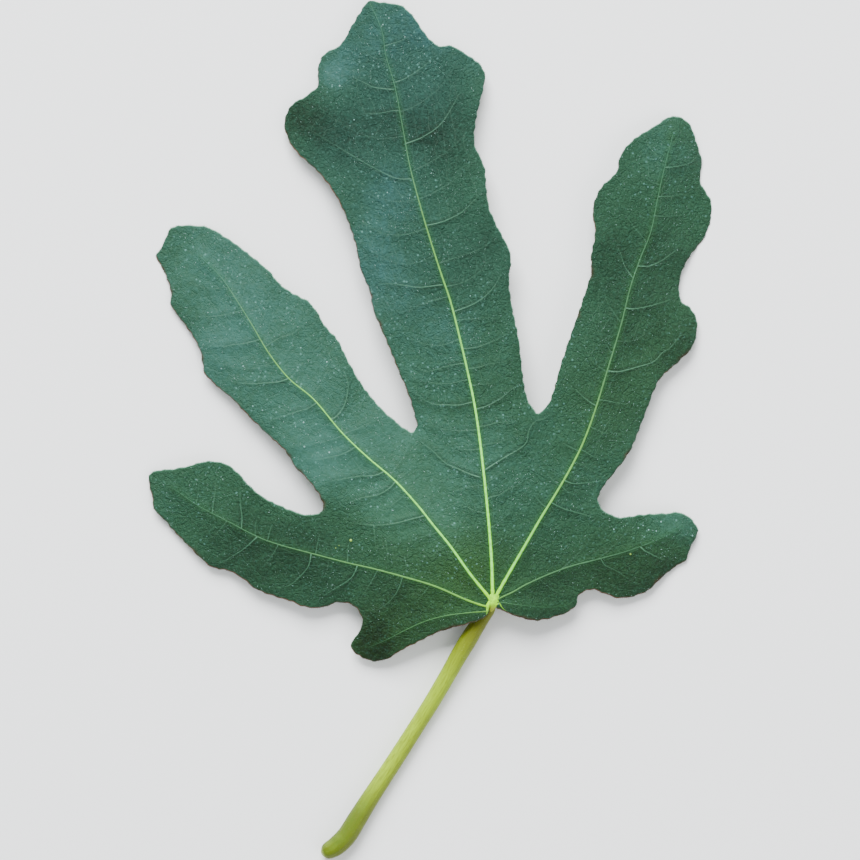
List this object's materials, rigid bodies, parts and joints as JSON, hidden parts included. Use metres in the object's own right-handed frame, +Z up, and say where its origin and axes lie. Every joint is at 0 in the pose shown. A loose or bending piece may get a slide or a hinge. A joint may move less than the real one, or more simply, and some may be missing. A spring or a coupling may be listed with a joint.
{
  "type": "fig leaf",
  "caption": "Deeply lobed green leaf with wavy margins and raised veins, its yellow-green stalk and ribs fanning out under it, picked and lying face up.",
  "frame": {"origin": "on the surface that the leaf lies on, under the middle of its bounding box", "axes": "+Y from the stalk's cut end towards the tip of the middle lobe, +X to the right as seen from above, +Z up off the surface, out of the upper face"},
  "size_m": [0.1408, 0.2144, 0.0104],
  "materials": {
    "blade_green": "matte",
    "stalk_yellow_green": "satin"
  },
  "bodies": {
    "root": {"blade": "blade_green", "stalk": "stalk_yellow_green"}
  },
  "joints": []
}
